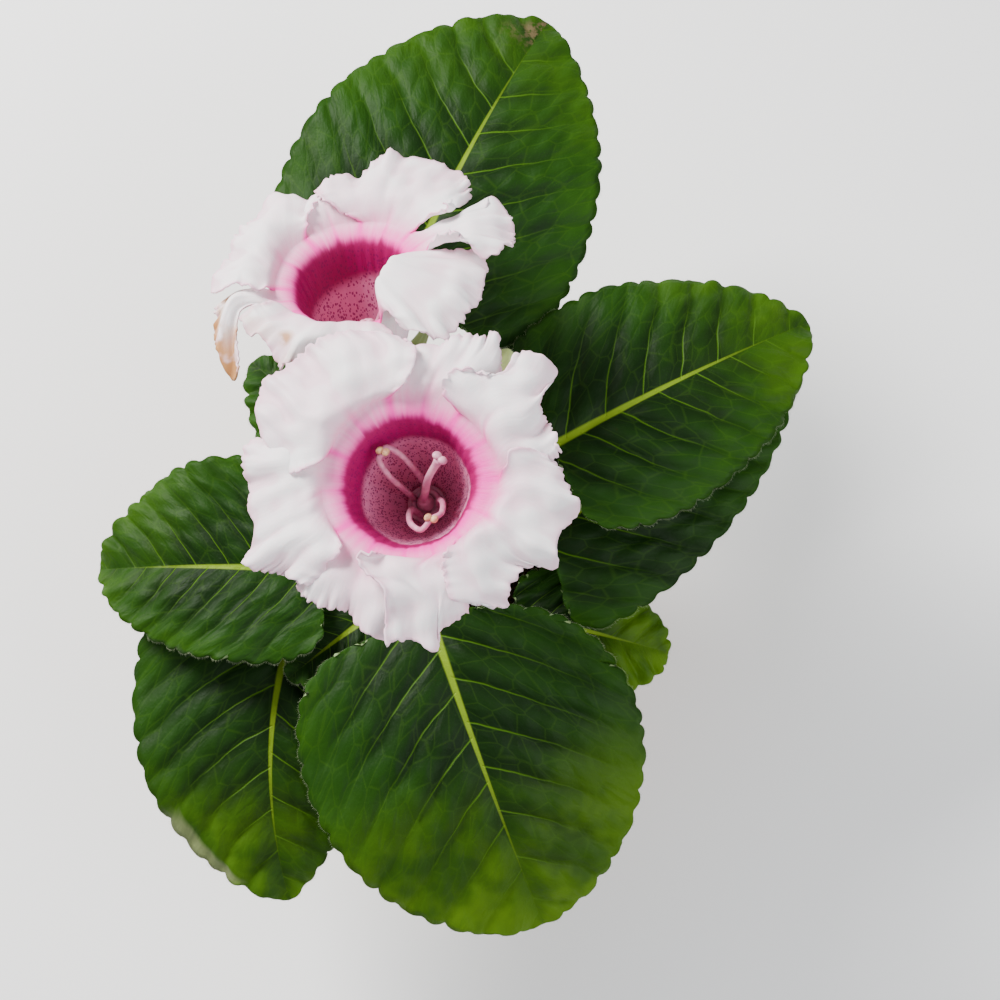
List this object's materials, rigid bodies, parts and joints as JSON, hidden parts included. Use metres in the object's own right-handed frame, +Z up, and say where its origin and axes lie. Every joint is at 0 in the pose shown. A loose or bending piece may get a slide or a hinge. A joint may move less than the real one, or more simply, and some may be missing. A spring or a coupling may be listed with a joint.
{
  "type": "potted gloxinia",
  "caption": "Gloxinia in a plain clay pot: a rosette of broad scalloped leaves under white, trumpet-shaped flowers with a magenta, finely spotted throat.",
  "frame": {"origin": "centre of the pot's flat foot, on the surface it stands on", "axes": "+Z up along the pot's axis, -Y towards the front, where the large front leaf points, +X to the right"},
  "size_m": [0.2081, 0.2741, 0.2115],
  "materials": {
    "leaf": "glossy, quilted deep green leaf with short pale hairs",
    "petal": "soft white petal with a magenta, finely spotted throat",
    "stalk": "hairy light green stalk and sepals",
    "pistil": "smooth pale pink",
    "stamen": "pale pink filaments, cream anthers",
    "bud": "hairy pale yellow-green",
    "crown": "rough green-brown stem",
    "soil": "dark crumbly potting mix",
    "clay": "matt unglazed terracotta"
  },
  "bodies": {
    "root": {"leaf_1": "leaf", "leaf_2": "leaf", "leaf_3": "leaf", "leaf_4": "leaf", "leaf_5": "leaf", "leaf_6": "leaf", "leaf_7": "leaf", "leaf_8": "leaf", "leaf_9": "leaf", "leaf_10": "leaf", "flower_1_corolla": "petal", "flower_1_stalk": "stalk", "flower_1_pistil": "pistil", "flower_1_stamens": "stamen", "flower_2_corolla": "petal", "flower_2_stalk": "stalk", "flower_2_pistil": "pistil", "flower_2_stamens": "stamen", "bud_1": "bud", "crown": "crown", "potting_mix": "soil", "pot": "clay"}
  },
  "joints": []
}
